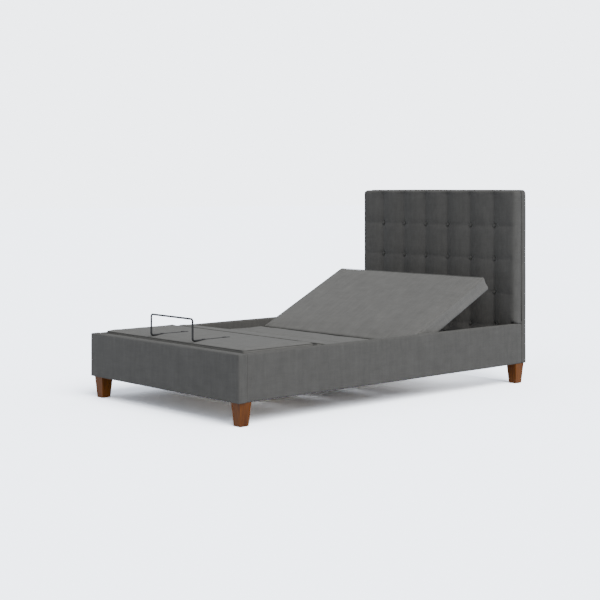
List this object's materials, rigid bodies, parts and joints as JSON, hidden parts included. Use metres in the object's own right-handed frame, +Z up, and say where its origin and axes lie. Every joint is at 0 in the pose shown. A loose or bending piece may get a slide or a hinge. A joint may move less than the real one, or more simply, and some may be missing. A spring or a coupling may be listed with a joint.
{
  "type": "adjustable bed base",
  "caption": "Adjustable bed base: upholstered surround on wooden legs, buttoned headboard, and a motor-driven folding deck with a mattress retainer bar.",
  "frame": {"origin": "on the floor, under the middle of the bed", "axes": "+Z up, +Y towards the headboard, +X to the right of someone looking from the foot to the head"},
  "size_m": [1.278, 2.2, 1.137],
  "materials": {
    "surround_fabric": "woven matte",
    "deck_fabric": "woven matte",
    "leg_wood": "satin lacquer",
    "plywood": "sanded",
    "softwood": "planed",
    "rubber": "matte",
    "cable_rubber": "matte",
    "black_plastic": "moulded",
    "motor_plastic": "moulded",
    "chrome_rod": "polished",
    "zinc_steel": "zinc plated",
    "black_steel": "powder coated"
  },
  "bodies": {
    "bed_frame": {"foot_panel": "surround_fabric", "side_rail_left": "surround_fabric", "side_rail_right": "surround_fabric", "panel_boards": "plywood", "headboard_frame": "surround_fabric", "headboard_pad": "surround_fabric", "headboard_buttons": "surround_fabric", "leg_foot_left": "leg_wood", "leg_foot_right": "leg_wood", "leg_head_left": "leg_wood", "leg_head_right": "leg_wood", "leg_glides": "rubber", "leg_bolts": "zinc_steel", "corner_brackets": "zinc_steel", "corner_screws": "zinc_steel", "rail_ledges": "softwood", "chassis_cross_tubes": "black_steel", "chassis_side_tubes": "black_steel", "seat_spacers": "black_plastic", "rest_buffers": "rubber", "shaft_bearings": "black_steel", "deck_seat_pad": "deck_fabric", "deck_seat_board": "plywood", "head_hinge_seat_leaves": "zinc_steel", "thigh_hinge_seat_leaves": "zinc_steel", "head_motor": "motor_plastic", "leg_motor": "motor_plastic", "motor_brackets": "black_steel", "control_box": "motor_plastic", "mains_inlet": "black_plastic", "motor_leads": "cable_rubber", "lead_clips": "black_plastic"},
    "head_section": {"deck_head_pad": "deck_fabric", "deck_head_board": "plywood", "head_hinge_head_leaves": "zinc_steel", "head_hinge_pins": "zinc_steel", "head_lift_tracks": "black_steel"},
    "thigh_section": {"deck_thigh_pad": "deck_fabric", "deck_thigh_board": "plywood", "thigh_hinge_thigh_leaves": "zinc_steel", "leg_hinge_pins": "zinc_steel", "knee_hinge_thigh_leaves": "zinc_steel", "leg_lift_tracks": "black_steel"},
    "calf_section": {"deck_calf_pad": "deck_fabric", "deck_calf_board": "plywood", "knee_hinge_calf_leaves": "zinc_steel", "calf_link_brackets": "black_steel", "retainer_bar": "black_steel", "retainer_clips": "black_steel"},
    "calf_link_pair": {"calf_links": "black_steel"},
    "head_lift_shaft": {"head_torque_tube": "black_steel", "head_lift_arms": "black_steel", "head_lift_levers": "black_steel"},
    "head_roller_pair": {"head_rollers": "black_plastic"},
    "head_motor_slider": {"head_motor_rod": "chrome_rod"},
    "leg_lift_shaft": {"leg_torque_tube": "black_steel", "leg_lift_arms": "black_steel", "leg_lift_levers": "black_steel"},
    "leg_roller_pair": {"leg_rollers": "black_plastic"},
    "leg_motor_slider": {"leg_motor_rod": "chrome_rod"}
  },
  "joints": [
    {"name": "head_lift", "type": "hinge", "parent": "bed_frame", "child": "head_section", "pos_m": [0, 0.105, 0.296], "axis": [1, 0, 0], "range_deg": [-26.5, 33.5]},
    {"name": "head_shaft_turn", "type": "hinge", "parent": "bed_frame", "child": "head_lift_shaft", "pos_m": [0, 0.145, 0.208], "axis": [1, 0, 0], "range_deg": [-26.5, 33.5]},
    {"name": "head_roller_spin", "type": "hinge", "parent": "head_lift_shaft", "child": "head_roller_pair", "pos_m": [0, 0.35619, 0.29989], "axis": [1, 0, 0], "continuous": true},
    {"name": "head_rod_slide", "type": "slide", "parent": "bed_frame", "child": "head_motor_slider", "axis": [0, 1, 0], "range_m": [-0.03701, 0.04678]},
    {"name": "leg_lift", "type": "hinge", "parent": "bed_frame", "child": "thigh_section", "pos_m": [0, -0.195, 0.296], "axis": [-1, 0, 0], "range_deg": [-9.25, 28.75]},
    {"name": "calf_fold", "type": "hinge", "parent": "thigh_section", "child": "calf_section", "pos_m": [0, -0.56306, 0.28806], "axis": [-1, 0, 0], "range_deg": [-28.75, 9.25]},
    {"name": "calf_link_swing", "type": "hinge", "parent": "bed_frame", "child": "calf_link_pair", "pos_m": [0, -0.6, 0.205], "axis": [-1, 0, 0], "range_deg": [-9.25, 28.75]},
    {"name": "leg_shaft_turn", "type": "hinge", "parent": "bed_frame", "child": "leg_lift_shaft", "pos_m": [0, -0.235, 0.208], "axis": [-1, 0, 0], "range_deg": [-9.25, 28.75]},
    {"name": "leg_roller_spin", "type": "hinge", "parent": "leg_lift_shaft", "child": "leg_roller_pair", "pos_m": [0, -0.46394, 0.23313], "axis": [-1, 0, 0], "continuous": true},
    {"name": "leg_rod_slide", "type": "slide", "parent": "bed_frame", "child": "leg_motor_slider", "axis": [0, -1, 0], "range_m": [-0.01244, 0.03865]}
  ],
  "couplings": [
    {"joint": "head_shaft_turn", "follows": "head_lift", "ratio": 1},
    {"joint": "head_rod_slide", "follows": "head_lift", "m_per_rad": 0.08},
    {"joint": "calf_fold", "follows": "leg_lift", "ratio": -1},
    {"joint": "calf_link_swing", "follows": "leg_lift", "ratio": 1},
    {"joint": "leg_shaft_turn", "follows": "leg_lift", "ratio": 1},
    {"joint": "leg_rod_slide", "follows": "leg_lift", "m_per_rad": 0.077}
  ]
}
